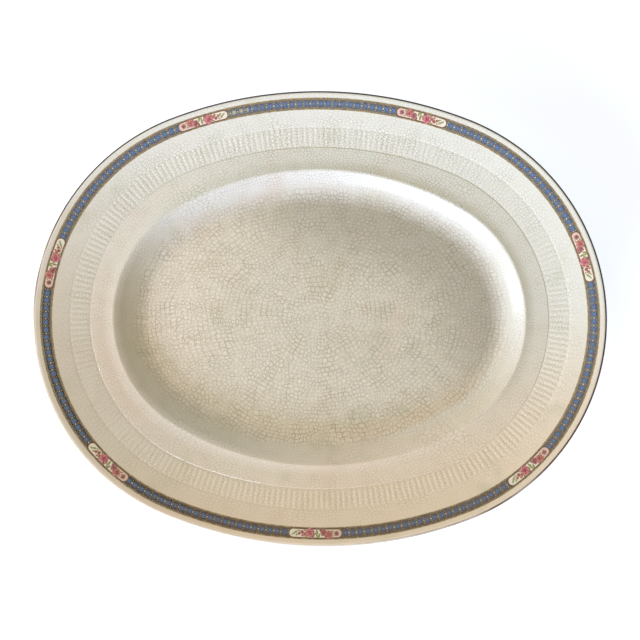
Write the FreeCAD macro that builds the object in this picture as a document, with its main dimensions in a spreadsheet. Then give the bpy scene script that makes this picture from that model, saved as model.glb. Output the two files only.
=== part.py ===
"""Oval china serving platter with a transfer-printed and gilded rim.

The fired clay body is two families of parallel ovals: the rim and its flange follow the rim line,
the well, its raised shoulder and the foot ring follow the well line.  Each line is a four-arc oval.
The glaze, the printed border and the gilding are thin solids that lie face to face on that body.
+X runs along the platter, +Z points up and the origin is at the middle of the foot's bearing plane.
"""
import FreeCAD, Part
import os
import Sketcher
from FreeCAD import Placement, Rotation, Vector
from math import atan2, cos, degrees, hypot, pi, sin

doc = FreeCAD.newDocument("ServingPlatter")

# ---------------------------------------------------------------- driving dimensions (mm)

SIZES = {
    # rim line and flange section, insets measured inward from the clay's rim
    "rim_length": 355.3, "rim_width": 282.8, "rim_end_radius": 132.9,
    "lip_height": 27.4, "lip_under_height": 24.3, "lip_radius": 1.5, "lip_under_radius": 1.2,
    "rim_slope": 0.3, "step_inset": 20.4, "step_width": 0.5, "step_drop": 0.4,
    "reed_inset": 33.8, "reed_height": 18.3, "reed_step_width": 0.4, "reed_step": 0.25,
    "valley_inset": 41.5, "valley_height": 18,
    "flange_end_inset": 50.5, "flange_end_drop": 0.4, "flange_thickness": 4.6,
    "under_knee_inset": 20, "under_knee_height": 16.6, "under_lip_inset": 3, "under_lip_height": 23,
    # well line: the crest of the raised shoulder, offsets measured from it; the floor is a little crowned
    "well_length": 258.4, "well_width": 185.6, "well_end_radius": 78.5,
    "crest_height": 18.9, "crest_radius": 2, "crest_reach": 7, "crest_foot_height": 17.2,
    "cavetto_width": 11.3, "cavetto_radius": 20, "floor_height": 7, "floor_joint": 67,
    "crown_edge": 30, "crown_edge_rise": 1.2, "crown_waist": 48, "crown_waist_rise": 2,
    "crown_inset": 64, "crown_rise": 2.4,
    "base_height": 2.4, "foot_outer": 13.2, "foot_inner": 17.2, "foot_radius": 0.8,
    "foot_bare": 1, "wall_root": 12.4, "wall_root_height": 3.4,
    "wall_top_reach": 1, "wall_top_height": 13, "wall_end_height": 15.6, "opening_height": 32,
    # coats and prints
    "glaze": 0.35, "print_thick": 0.2, "gilt_thick": 0.12, "gilt_from": 30, "gilt_to": 75,
    "band_inset": 4.1, "band_width": 7, "line_width": 0.6,
    "cartouche_length": 33, "cartouche_end_radius": 3.5, "stencil_width": 14, "stencil_height": 40,
    "join_length": 13, "enamel_thick": 0.15, "stem_width": 0.5,
    "bud_radius": 1.3, "first_rose_radius": 2.2, "second_rose_radius": 1.8, "leaf_radius": 1.8,
    "large_rose_radius": 2.6, "foliage_radius": 1.9, "sprig_radius": 1.5,
}

# Places of the seven cartouches along the border, as fractions of its length clockwise from +X.
# The border was laid by hand, so they are not quite evenly spaced.
CARTOUCHE_PLACES = (0.106, 0.250, 0.392, 0.532, 0.672, 0.816, 0.960)
JOIN_AFTER = 4  # index of the cartouche beside which the border closes on itself

# One spray: each flower or leaf and its distance along the cartouche from the middle.
SPRAY = (
    ("bud", -12.8),
    ("first_rose", -8.2),
    ("second_rose", -5.0),
    ("leaf", -0.6),
    ("large_rose", 3.4),
    ("foliage", 8.4),
    ("sprig", 12.8),
)

sheet = doc.addObject("Spreadsheet::Sheet", "Sizes")
for row, (alias, size) in enumerate(SIZES.items(), 1):
    sheet.set(f"A{row}", alias)
    sheet.set(f"B{row}", str(size))
    sheet.setAlias(f"B{row}", alias)
doc.recompute()


def mm(expression):
    """Value of an expression on the sheet's cells."""
    return float(sheet.evalExpression(expression))


def cell(alias):
    """Reference to a cell, for use in expressions."""
    return f"Sizes.{alias}"


# ---------------------------------------------------------------- four-arc ovals

def oval_arcs(line, inset):
    """End centre, side centre, end radius, side radius and joint angle of an inset oval."""
    half_length = mm(f"Sizes.{line}_length / 2 - ({inset})")
    half_width = mm(f"Sizes.{line}_width / 2 - ({inset})")
    end_radius = mm(f"Sizes.{line}_end_radius - ({inset})")
    end_centre = half_length - end_radius
    side_radius = (end_centre ** 2 + half_width ** 2 - end_radius ** 2) / (2 * (half_width - end_radius))
    side_centre = side_radius - half_width
    return end_centre, side_centre, end_radius, side_radius, atan2(side_centre, end_centre)


def place_on_oval(fraction, line, inset, along=0.0):
    """Point and heading on an inset oval, a fraction of its length (plus mm) clockwise from +X."""
    end_centre, side_centre, end_radius, side_radius, joint = oval_arcs(line, inset)
    half = 2 * (end_radius * joint + side_radius * (pi / 2 - joint))
    distance = -(fraction * 2 * half + along) % (2 * half)
    below = distance > half
    distance = 2 * half - distance if below else distance
    left = distance > half / 2
    distance = half - distance if left else distance
    if distance < end_radius * joint:
        angle = distance / end_radius
        point = Vector(end_centre + end_radius * cos(angle), end_radius * sin(angle), 0)
    else:
        angle = joint + (distance - end_radius * joint) / side_radius
        point = Vector(side_radius * cos(angle), side_radius * sin(angle) - side_centre, 0)
    outward = Vector(cos(angle), sin(angle), 0)
    for vector in (point, outward):
        vector.x = -vector.x if left else vector.x
        vector.y = -vector.y if below else vector.y
    return point, degrees(atan2(outward.y, outward.x)) - 90


def oval_distance(point, line):
    """Signed distance in plan from a line's oval, positive outside it."""
    end_centre, side_centre, end_radius, side_radius, _ = oval_arcs(line, "0")
    x = abs(point.x)
    y = abs(point.y)
    if x * side_centre > end_centre * (y + side_centre):
        return hypot(x - end_centre, y) - end_radius
    return hypot(x, y + side_centre) - side_radius


# ---------------------------------------------------------------- sketches and features

def new_sketch(body, name, role):
    """Sketch on one of the body's own origin planes."""
    sketch = body.newObject("Sketcher::SketchObject", name)
    plane = [feature for feature in body.Origin.OriginFeatures if feature.Role == role][0]
    sketch.AttachmentSupport = [(plane, "")]
    sketch.MapMode = "FlatFace"
    return sketch


def bind(sketch, kind, *where, to):
    """Dimensional constraint whose value is an expression on the sheet."""
    index = sketch.addConstraint(Sketcher.Constraint(kind, *where, mm(to)))
    sketch.setExpression(f"Constraints[{index}]", to)


def oval_sketch(body, name, line, inset="0"):
    """Closed oval of five tangent arcs that starts at +X, where the section sketches lie."""
    sketch = new_sketch(body, name, "XY_Plane")
    end_centre, side_centre, end_radius, side_radius, joint = oval_arcs(line, inset)
    arcs = (
        (end_centre, 0, end_radius, 0, joint),
        (0, -side_centre, side_radius, joint, pi - joint),
        (-end_centre, 0, end_radius, pi - joint, pi + joint),
        (0, side_centre, side_radius, pi + joint, 2 * pi - joint),
        (end_centre, 0, end_radius, 2 * pi - joint, 2 * pi),
    )
    for x, y, radius, start, stop in arcs:
        circle = Part.Circle(Vector(x, y, 0), Vector(0, 0, 1), radius)
        sketch.addGeometry(Part.ArcOfCircle(circle, start, stop), False)
    for first in range(4):
        sketch.addConstraint(Sketcher.Constraint("Tangent", first, 2, first + 1, 1))
    for relation in (
        ("Coincident", 4, 2, 0, 1),
        ("Coincident", 4, 3, 0, 3),
        ("PointOnObject", 0, 1, -1),
        ("PointOnObject", 0, 3, -1),
        ("PointOnObject", 2, 3, -1),
        ("PointOnObject", 1, 3, -2),
        ("Equal", 0, 2),
        ("Equal", 1, 3),
    ):
        sketch.addConstraint(Sketcher.Constraint(*relation))
    length = f"(Sizes.{line}_length / 2 - ({inset}))"
    width = f"(Sizes.{line}_width / 2 - ({inset}))"
    radius = f"(Sizes.{line}_end_radius - ({inset}))"
    bind(sketch, "DistanceX", -1, 1, 0, 1, to=length)
    bind(sketch, "Radius", 0, to=radius)
    side = f"(({length} - {radius})^2 + {width}^2 - {radius}^2) / (2 * ({width} - {radius}))"
    bind(sketch, "Radius", 1, to=side)
    return sketch


def section_sketch(body, name, corners):
    """Closed polygon on the XZ plane; each corner is a pair of expressions."""
    sketch = new_sketch(body, name, "XZ_Plane")
    points = [Vector(mm(x), mm(z), 0) for x, z in corners]
    for start, stop in zip(points, points[1:] + points[:1]):
        sketch.addGeometry(Part.LineSegment(start, stop), False)
    for side, (x, z) in enumerate(corners):
        following = (side + 1) % len(corners)
        sketch.addConstraint(Sketcher.Constraint("Coincident", side, 2, following, 1))
        bind(sketch, "DistanceX", -1, 1, side, 1, to=x)
        bind(sketch, "DistanceY", -1, 1, side, 1, to=z)
    return sketch


def from_line(line, *corners):
    """Turn (outward offset, height) expressions into (x, z) expressions at the oval's +X end."""
    return [(f"Sizes.{line}_length / 2 + ({offset})", height) for offset, height in corners]


def sweep(body, name, section, spine, kind="AdditivePipe"):
    """Carry a section round an oval; a subtractive sweep has to take material away."""
    before = body.Tip.Shape.Volume if kind == "SubtractivePipe" else 0
    pipe = body.newObject(f"PartDesign::{kind}", name)
    pipe.Profile = section
    pipe.Spine = (spine, [])
    doc.recompute()
    if kind == "SubtractivePipe" and pipe.Shape.Volume >= before:
        raise ValueError(f"{name} removes nothing")
    return pipe


def round_edges(body, name, line, offset, height, radius, tolerance=0.05):
    """Fillet the chain of edges that lies at one offset and height along an oval."""
    wanted = mm(offset)
    level = mm(height)
    base = body.Tip
    chain = []
    for number, edge in enumerate(base.Shape.Edges, 1):
        middle = edge.valueAt((edge.FirstParameter + edge.LastParameter) / 2)
        at_level = abs(middle.z - level) < tolerance
        if at_level and abs(oval_distance(middle, line) - wanted) < tolerance:
            chain.append(f"Edge{number}")
    if not chain:
        raise ValueError(f"{name} finds no edges")
    fillet = body.newObject("PartDesign::Fillet", name)
    fillet.Base = (base, chain)
    fillet.setExpression("Radius", radius)
    doc.recompute()
    return fillet


# ---------------------------------------------------------------- fired body and glaze

def build_form(name, skin, foot_end):
    """The platter's form, grown by a skin; foot_end is the height at which the foot stops."""
    body = doc.addObject("PartDesign::Body", name)
    rim = oval_sketch(body, f"{name}_rim_line", "rim")
    well = oval_sketch(body, f"{name}_well_line", "well")

    wall = section_sketch(body, f"{name}_wall_section", from_line(
        "well",
        ("Sizes.crest_reach", f"Sizes.crest_foot_height + {skin}"),
        ("0", f"Sizes.crest_height + {skin}"),
        ("-Sizes.cavetto_width", f"Sizes.floor_height + {skin}"),
        ("-Sizes.crown_edge", f"Sizes.floor_height + Sizes.crown_edge_rise + {skin}"),
        ("-Sizes.crown_waist", f"Sizes.floor_height + Sizes.crown_waist_rise + {skin}"),
        ("-Sizes.crown_inset", f"Sizes.floor_height + Sizes.crown_rise + {skin}"),
        ("-Sizes.floor_joint", f"Sizes.floor_height + Sizes.crown_rise + {skin}"),
        ("-Sizes.floor_joint", "Sizes.base_height"),
        ("-Sizes.foot_inner", "Sizes.base_height"),
        ("-Sizes.foot_inner", foot_end),
        (f"{skin} - Sizes.foot_outer", foot_end),
        (f"{skin} - Sizes.wall_root", "Sizes.wall_root_height"),
        ("Sizes.wall_top_reach", f"Sizes.wall_top_height - {skin}"),
        ("Sizes.crest_reach", f"Sizes.wall_end_height - {skin}"),
    ))
    sweep(body, f"{name}_wall", wall, well)

    floor_line = oval_sketch(body, f"{name}_floor_line", "well", "Sizes.floor_joint - 1")
    floor_line.AttachmentOffset = Placement(Vector(0, 0, mm("Sizes.base_height")), Rotation())
    floor_line.setExpression("AttachmentOffset.Base.z", "Sizes.base_height")
    floor = body.newObject("PartDesign::Pad", f"{name}_floor")
    floor.Profile = floor_line
    floor.setExpression("Length", f"Sizes.floor_height + Sizes.crown_rise + {skin} - Sizes.base_height")
    doc.recompute()

    step_height = f"Sizes.lip_height - Sizes.rim_slope * Sizes.step_inset + {skin}"
    end_height = "Sizes.valley_height - Sizes.flange_end_drop"
    flange = section_sketch(body, f"{name}_flange_section", from_line(
        "rim",
        (skin, f"Sizes.lip_height + {skin} * (1 + Sizes.rim_slope)"),
        ("-Sizes.step_inset", step_height),
        ("-Sizes.step_inset - Sizes.step_width", f"{step_height} - Sizes.step_drop"),
        ("-Sizes.reed_inset", f"Sizes.reed_height + {skin}"),
        ("-Sizes.reed_inset - Sizes.reed_step_width", f"Sizes.reed_height + Sizes.reed_step + {skin}"),
        ("-Sizes.valley_inset", f"Sizes.valley_height + {skin}"),
        ("-Sizes.flange_end_inset", f"{end_height} + {skin}"),
        ("-Sizes.flange_end_inset", f"{end_height} - Sizes.flange_thickness - {skin}"),
        ("-Sizes.under_knee_inset", f"Sizes.under_knee_height - {skin}"),
        ("-Sizes.under_lip_inset", f"Sizes.under_lip_height - {skin}"),
        (skin, f"Sizes.lip_under_height - {skin}"),
    ))
    sweep(body, f"{name}_flange", flange, rim)

    cavity = section_sketch(body, f"{name}_cavity_section", from_line(
        "well",
        ("0", f"Sizes.crest_height + {skin}"),
        ("0", "Sizes.opening_height"),
        ("-Sizes.crown_edge", "Sizes.opening_height"),
        ("-Sizes.crown_edge", f"Sizes.floor_height + Sizes.crown_edge_rise + {skin}"),
        ("-Sizes.cavetto_width", f"Sizes.floor_height + {skin}"),
    ))
    sweep(body, f"{name}_cavity", cavity, well, "SubtractivePipe")

    round_edges(body, f"{name}_crest", "well", "0", f"Sizes.crest_height + {skin}", cell("crest_radius"))
    round_edges(body, f"{name}_cavetto", "well", "-Sizes.cavetto_width",
                f"Sizes.floor_height + {skin}", cell("cavetto_radius"))
    round_edges(body, f"{name}_lip", "rim", skin,
                f"Sizes.lip_height + {skin} * (1 + Sizes.rim_slope)", f"Sizes.lip_radius + {skin}")
    round_edges(body, f"{name}_lip_under", "rim", skin, f"Sizes.lip_under_height - {skin}",
                f"Sizes.lip_under_radius + {skin}")
    return body


def build_clay_body():
    """Fired body: flange, shoulder, well and a bare foot ring with softened edges."""
    body = build_form("clay_body", "0", "0")
    round_edges(body, "foot_outer_edge", "well", "-Sizes.foot_outer", "0", cell("foot_radius"))
    round_edges(body, "foot_inner_edge", "well", "-Sizes.foot_inner", "0", cell("foot_radius"))
    return body


def build_glaze_coat(clay):
    """Glaze over the face, the lip and the back as far as the bare foot ring."""
    envelope = build_form("glazed_form", "Sizes.glaze", "Sizes.foot_bare")
    glaze = doc.addObject("Part::Cut", "glaze_coat")
    glaze.Base = envelope
    glaze.Tool = clay
    doc.recompute()
    return glaze


def build_base_glaze():
    """Glaze on the underside of the well, inside the foot ring."""
    body = doc.addObject("PartDesign::Body", "base_glaze")
    outline = oval_sketch(body, "base_glaze_outline", "well", "Sizes.foot_inner")
    outline.AttachmentOffset = Placement(Vector(0, 0, mm("Sizes.base_height")), Rotation())
    outline.setExpression("AttachmentOffset.Base.z", "Sizes.base_height")
    coat = body.newObject("PartDesign::Pad", "base_glaze_coat")
    coat.Profile = outline
    coat.setExpression("Length", cell("glaze"))
    coat.Reversed = True
    doc.recompute()
    return body


# ---------------------------------------------------------------- printed border

def rim_height(inset, lift):
    """Height of the glazed rim slope at an inset, raised by a lift."""
    return f"Sizes.lip_height + Sizes.glaze - Sizes.rim_slope * ({inset}) + {lift}"


def build_rim_layer(name, start, stop, low, high):
    """Thin ring on the rim slope between two insets and two levels above the glaze."""
    body = doc.addObject("PartDesign::Body", name)
    spine = oval_sketch(body, f"{name}_line", "rim")
    section = section_sketch(body, f"{name}_section", from_line(
        "rim",
        (f"-({start})", rim_height(start, low)),
        (f"-({start})", rim_height(start, high)),
        (f"-({stop})", rim_height(stop, high)),
        (f"-({stop})", rim_height(stop, low)),
    ))
    sweep(body, f"{name}_ring", section, spine)
    return body


def build_edge_gilding():
    """Gilt line on the round of the lip: two arcs about the lip's own centre and two radii."""
    body = doc.addObject("PartDesign::Body", "edge_gilding")
    spine = oval_sketch(body, "edge_gilding_line", "rim")
    sketch = new_sketch(body, "edge_gilding_section", "XZ_Plane")
    inner = "(Sizes.lip_radius + Sizes.glaze)"
    outer = "(Sizes.lip_radius + Sizes.glaze + Sizes.gilt_thick)"
    centre_x = "(Sizes.rim_length / 2 - Sizes.lip_radius)"
    slant = "sqrt(1 + Sizes.rim_slope^2)"
    centre_z = f"(Sizes.lip_height + Sizes.glaze - Sizes.rim_slope * Sizes.lip_radius - {inner} * {slant})"
    centre = Vector(mm(centre_x), mm(centre_z), 0)
    start = mm("Sizes.gilt_from") * pi / 180
    stop = mm("Sizes.gilt_to") * pi / 180
    for radius in (mm(inner), mm(outer)):
        circle = Part.Circle(centre, Vector(0, 0, 1), radius)
        sketch.addGeometry(Part.ArcOfCircle(circle, start, stop), False)
    for angle in (start, stop):
        ray = Vector(cos(angle), sin(angle), 0)
        sketch.addGeometry(Part.LineSegment(centre + ray * mm(inner), centre + ray * mm(outer)), False)
    for relation in (
        ("Coincident", 0, 3, 1, 3),
        ("Coincident", 0, 1, 2, 1),
        ("Coincident", 1, 1, 2, 2),
        ("Coincident", 0, 2, 3, 1),
        ("Coincident", 1, 2, 3, 2),
    ):
        sketch.addConstraint(Sketcher.Constraint(*relation))
    bind(sketch, "DistanceX", -1, 1, 0, 3, to=centre_x)
    bind(sketch, "DistanceY", -1, 1, 0, 3, to=centre_z)
    bind(sketch, "Radius", 0, to=inner)
    bind(sketch, "Radius", 1, to=outer)
    for point, angle in ((1, "Sizes.gilt_from"), (2, "Sizes.gilt_to")):
        for radius, arc in ((inner, 0), (outer, 1)):
            bind(sketch, "DistanceX", -1, 1, arc, point, to=f"{centre_x} + {radius} * cos({angle} * 1 deg)")
    sweep(body, "edge_gilding_ring", sketch, spine)
    return body


BAND_MIDDLE = "Sizes.band_inset + Sizes.band_width / 2"
FIELD_START = "Sizes.band_inset + Sizes.line_width"
FIELD_STOP = "Sizes.band_inset + Sizes.band_width - Sizes.line_width"


def place_on_border(index, along=0.0):
    """Point and heading on the middle of the border, some mm clockwise of a cartouche."""
    fraction = CARTOUCHE_PLACES[index % len(CARTOUCHE_PLACES)]
    return place_on_oval(fraction, "rim", BAND_MIDDLE, along)


def upright_cylinder(name, centre, radius):
    """Tall round stencil, its radius bound to the sheet."""
    cylinder = doc.addObject("Part::Cylinder", name)
    cylinder.setExpression("Radius", radius)
    cylinder.setExpression("Height", cell("stencil_height"))
    cylinder.Placement = Placement(centre, Rotation())
    return cylinder


def upright_box(name, middle, heading, length, width):
    """Tall straight stencil centred on a point, its length along the heading."""
    box = doc.addObject("Part::Box", name)
    box.setExpression("Length", length)
    box.setExpression("Width", width)
    box.setExpression("Height", cell("stencil_height"))
    turn = Rotation(Vector(0, 0, 1), heading)
    corner = turn.multVec(Vector(-mm(length) / 2, -mm(width) / 2, 0))
    box.Placement = Placement(middle + corner, turn)
    return box


def fuse(name, shapes):
    """Union of several document objects."""
    union = doc.addObject("Part::MultiFuse", name)
    union.Shapes = shapes
    return union


def common(name, first, second):
    """Intersection of two document objects."""
    result = doc.addObject("Part::MultiCommon", name)
    result.Shapes = [first, second]
    return result


def cut(name, base, tool):
    """One document object less another."""
    result = doc.addObject("Part::Cut", name)
    result.Base = base
    result.Tool = tool
    return result


def build_cartouche_stencil(index):
    """Round-ended upright prism over one cartouche, following the border's middle line."""
    reach = "(Sizes.cartouche_length / 2 - Sizes.cartouche_end_radius)"
    pieces = []
    for side, along in (("start", -mm(reach)), ("stop", mm(reach))):
        centre, _ = place_on_border(index, along)
        pieces.append(upright_cylinder(f"stencil_{index + 1}_{side}", centre, cell("cartouche_end_radius")))
    middle, heading = place_on_border(index)
    straight = upright_box(f"stencil_{index + 1}_straight", middle, heading, f"2 * {reach}",
                           cell("stencil_width"))
    return fuse(f"stencil_{index + 1}", pieces + [straight])


def build_wedge(name, start, stop):
    """Upright prism from the platter's middle that spans the border between two points."""
    body = doc.addObject("PartDesign::Body", name)
    sketch = new_sketch(body, f"{name}_outline", "XY_Plane")
    corners = [Vector(0, 0, 0), start * 2, stop * 2]
    for first, second in zip(corners, corners[1:] + corners[:1]):
        sketch.addGeometry(Part.LineSegment(first, second), False)
    for side in range(3):
        sketch.addConstraint(Sketcher.Constraint("Coincident", side, 2, (side + 1) % 3, 1))
    prism = body.newObject("PartDesign::Pad", f"{name}_prism")
    prism.Profile = sketch
    prism.setExpression("Length", cell("stencil_height"))
    return body


def build_panel(name, index, ring, stencils):
    """Blue panel between one cartouche and the next."""
    following = (index + 1) % len(stencils)
    start, _ = place_on_border(index)
    stop, _ = place_on_border(index + 1)
    sector = common(f"{name}_sector", ring, build_wedge(f"{name}_wedge", start, stop))
    ends = fuse(f"{name}_ends", [stencils[index], stencils[following]])
    return cut(name, sector, ends)


def build_join(field, stencils):
    """Closing panel in two nodes: a short patch beside its cartouche, and the rest of the panel."""
    panel = build_panel("closing_panel", JOIN_AFTER, field, stencils)
    start, _ = place_on_border(JOIN_AFTER)
    half = mm("Sizes.cartouche_length / 2")
    stop, _ = place_on_border(JOIN_AFTER, half + mm("Sizes.join_length"))
    wedge = build_wedge("join_wedge", start, stop)
    patch = common("border_join_patch", panel, wedge)
    rest = cut(f"border_panel_{JOIN_AFTER + 1}", panel, wedge)
    return patch, rest


def build_spray(index, ring):
    """Enamelled spray of one cartouche: blossoms and leaves threaded on a thin stem."""
    pieces = []
    places = []
    for name, along in SPRAY:
        centre, _ = place_on_border(index, along)
        places.append(centre)
        pieces.append(upright_cylinder(f"spray_{index + 1}_{name}", centre, cell(f"{name}_radius")))
    for number, (start, stop) in enumerate(zip(places, places[1:]), 1):
        run = stop - start
        heading = degrees(atan2(run.y, run.x))
        stem = upright_box(f"spray_{index + 1}_stem_{number}", (start + stop) / 2, heading,
                           str(round(run.Length, 3)), cell("stem_width"))
        pieces.append(stem)
    outline = fuse(f"spray_{index + 1}_outline", pieces)
    return common(f"rose_spray_{index + 1}", ring, outline)


def build_border():
    """Bounding lines, blue panels, cream cartouches and their sprays, in one list of nodes."""
    top = cell("print_thick")
    nodes = [
        build_rim_layer("border_line_outer", cell("band_inset"), FIELD_START, "0", top),
        build_rim_layer("border_line_inner", FIELD_STOP, "Sizes.band_inset + Sizes.band_width", "0", top),
    ]
    field = build_rim_layer("border_field", FIELD_START, FIELD_STOP, "0", top)
    enamel = build_rim_layer("enamel_field", FIELD_START, FIELD_STOP, top, f"{top} + Sizes.enamel_thick")
    stencils = [build_cartouche_stencil(index) for index in range(len(CARTOUCHE_PLACES))]
    for index, stencil in enumerate(stencils):
        if index == JOIN_AFTER:
            nodes.extend(build_join(field, stencils))
        else:
            nodes.append(build_panel(f"border_panel_{index + 1}", index, field, stencils))
        nodes.append(common(f"cartouche_{index + 1}", field, stencil))
        nodes.append(build_spray(index, enamel))
    doc.recompute()
    return nodes


# ---------------------------------------------------------------- check and write

def check_document():
    """Stop if any object of the document failed to recompute."""
    for thing in doc.Objects:
        if "Invalid" in thing.State or "Error" in thing.State:
            raise ValueError(f"{thing.Label} is {thing.State}")


def write_nodes(nodes):
    """Write each sub-part to its own file, one valid solid in each."""
    os.makedirs("parts", exist_ok=True)
    for node in nodes:
        shape = node.Shape
        if shape.isNull() or not shape.isValid() or len(shape.Solids) != 1:
            raise ValueError(f"{node.Label} is not one valid solid")
        shape.exportStep(f"parts/{node.Label}.step")
        print(f"{node.Label}: {shape.Volume:.1f} mm3")


clay_body = build_clay_body()
sub_parts = [clay_body, build_glaze_coat(clay_body), build_base_glaze(), build_edge_gilding()]
sub_parts += build_border()
check_document()
write_nodes(sub_parts)
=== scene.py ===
import bpy
import numpy as np
from mathutils import Matrix, Vector


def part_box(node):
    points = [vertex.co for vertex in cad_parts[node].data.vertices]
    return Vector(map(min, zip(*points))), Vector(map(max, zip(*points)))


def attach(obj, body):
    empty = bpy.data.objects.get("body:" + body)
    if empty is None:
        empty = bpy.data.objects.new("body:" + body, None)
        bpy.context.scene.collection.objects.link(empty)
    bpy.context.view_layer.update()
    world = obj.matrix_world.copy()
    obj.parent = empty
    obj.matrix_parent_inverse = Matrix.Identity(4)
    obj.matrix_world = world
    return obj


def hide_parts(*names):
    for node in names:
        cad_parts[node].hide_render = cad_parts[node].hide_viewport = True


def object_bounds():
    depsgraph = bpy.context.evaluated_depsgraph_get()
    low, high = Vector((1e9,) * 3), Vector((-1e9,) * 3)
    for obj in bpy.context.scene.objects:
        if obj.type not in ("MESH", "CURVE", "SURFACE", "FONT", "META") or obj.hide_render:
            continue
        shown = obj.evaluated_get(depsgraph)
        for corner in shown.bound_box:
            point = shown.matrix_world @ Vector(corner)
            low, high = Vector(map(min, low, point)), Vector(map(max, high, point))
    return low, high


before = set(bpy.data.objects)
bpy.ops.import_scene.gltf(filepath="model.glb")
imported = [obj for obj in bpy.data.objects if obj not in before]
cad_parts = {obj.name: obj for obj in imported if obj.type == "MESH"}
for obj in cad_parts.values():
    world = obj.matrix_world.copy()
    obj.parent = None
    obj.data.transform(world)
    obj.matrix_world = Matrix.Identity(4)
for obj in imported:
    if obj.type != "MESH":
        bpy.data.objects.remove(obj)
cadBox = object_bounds()
mm = 0.001
fullTurn = 2 * np.pi
print("frame loaded:", len(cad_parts), "nodes")

# Plan and section of the platter, in millimetres. A track is the distance inward from the glazed rim.
platter = {
    "rimEndRadius": 133.25,
    "wellLength": 258.4, "wellWidth": 185.6, "wellEndRadius": 78.5,
    "crestTrack": 48.8, "floorRun": 64.0, "poleTrack": 141.0,
    "reedStart": 20.75, "reedEnd": 34.55,
    "lipRadius": 1.85,
    "glazeDepth": 0.3,
    "sagDepth": 0.22, "sagHeight": 27.4,   # the sag is full at this height
}


# Low and high corners of a node's box, in millimetres.
def sizeOf(node):
    low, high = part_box(node)
    return np.array(low) / mm, np.array(high) / mm


# Four-arc oval: end arcs about (+-endCentre, 0) and side arcs about (0, -+sideCentre), which meet where the
# line through the two centres cuts them.
def makeOval(halfLength, halfWidth, endRadius):
    endCentre = halfLength - endRadius
    sideRadius = (endCentre ** 2 + halfWidth ** 2 - endRadius ** 2) / (2 * (halfWidth - endRadius))
    joint = np.arctan2(sideRadius - halfWidth, endCentre)
    return {"endCentre": endCentre, "endRadius": endRadius, "joint": joint,
            "sideCentre": sideRadius - halfWidth, "sideRadius": sideRadius}


# Point on an inset oval: the arc's centre plus (arc radius less inset) times the outward direction.
def ovalPoint(oval, heading, inset):
    outX, outY = np.cos(heading), np.sin(heading)
    onEnd = np.abs(outY) < np.sin(oval["joint"])
    radius = np.where(onEnd, oval["endRadius"], oval["sideRadius"]) - inset
    x = np.where(onEnd, np.sign(outX) * oval["endCentre"], 0) + radius * outX
    y = np.where(onEnd, 0, -np.sign(outY) * oval["sideCentre"]) + radius * outY
    return x, y


# Arc lengths up to each joint of an inset oval: each arc is its radius times its turn.
def ovalRuler(oval, inset):
    joint = oval["joint"]
    turns = np.array([0, joint, np.pi - joint, np.pi + joint, fullTurn - joint, fullTurn])
    endArc, sideArc = oval["endRadius"] - inset, oval["sideRadius"] - inset
    lengths = np.cumsum(np.diff(turns) * np.array([endArc, sideArc, endArc, sideArc, endArc]))
    return np.concatenate([[0], lengths]), turns


# Outward heading after a length along an inset oval, counterclockwise from +X.
def headingAt(oval, length, inset):
    lengths, turns = ovalRuler(oval, inset)
    laps = np.floor(length / lengths[-1])
    return np.interp(length - laps * lengths[-1], lengths, turns) + laps * fullTurn


# Length along an inset oval at the heading of a point near it.
def lengthNear(oval, point, inset):
    x, y = point
    onEnd = abs(x) * oval["sideCentre"] > oval["endCentre"] * (abs(y) + oval["sideCentre"])
    centre = (np.sign(x) * oval["endCentre"], 0) if onEnd else (0, -np.sign(y) * oval["sideCentre"])
    heading = np.arctan2(y - centre[1], x - centre[0]) % fullTurn
    lengths, turns = ovalRuler(oval, inset)
    return np.interp(heading, turns, lengths)


rimOval = makeOval(min(-cadBox[0].x, cadBox[1].x) / mm, min(-cadBox[0].y, cadBox[1].y) / mm,
                   platter["rimEndRadius"])
wellOval = makeOval(platter["wellLength"] / 2, platter["wellWidth"] / 2, platter["wellEndRadius"])
reedMiddle = (platter["reedStart"] + platter["reedEnd"]) / 2
reedLength = ovalRuler(rimOval, reedMiddle)[0][-1]


# Plan point: rim ovals as far as the reeds' inner edge, well ovals from the crest inward, a straight blend
# between the two, and the innermost oval shrinking onto the middle.
def planPoint(heading, track):
    crest, reedEnd = platter["crestTrack"], platter["reedEnd"]
    rimX, rimY = ovalPoint(rimOval, heading, np.minimum(track, reedEnd))
    wellX, wellY = ovalPoint(wellOval, heading, np.clip(track - crest, 0, platter["floorRun"]))
    share = np.clip((track - reedEnd) / (crest - reedEnd), 0, 1)
    floorEdge = crest + platter["floorRun"]
    shrink = 1 - np.clip((track - floorEdge) / (platter["poleTrack"] - floorEdge), 0, 1)
    return (rimX + (wellX - rimX) * share) * shrink, (rimY + (wellY - rimY) * share) * shrink


# Kiln warp: broad sine waves lower the ware a little, by the square of its height, so the foot stays flat.
def warped(x, y, z):
    wave = np.sin(x / 61 + 0.7) * np.cos(y / 47 - 0.4) + 0.6 * np.sin((x + y) / 83 + 2.1)
    return z - platter["sagDepth"] * (0.5 + wave / 3.2) * (np.clip(z, 0, None) / platter["sagHeight"]) ** 2


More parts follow.
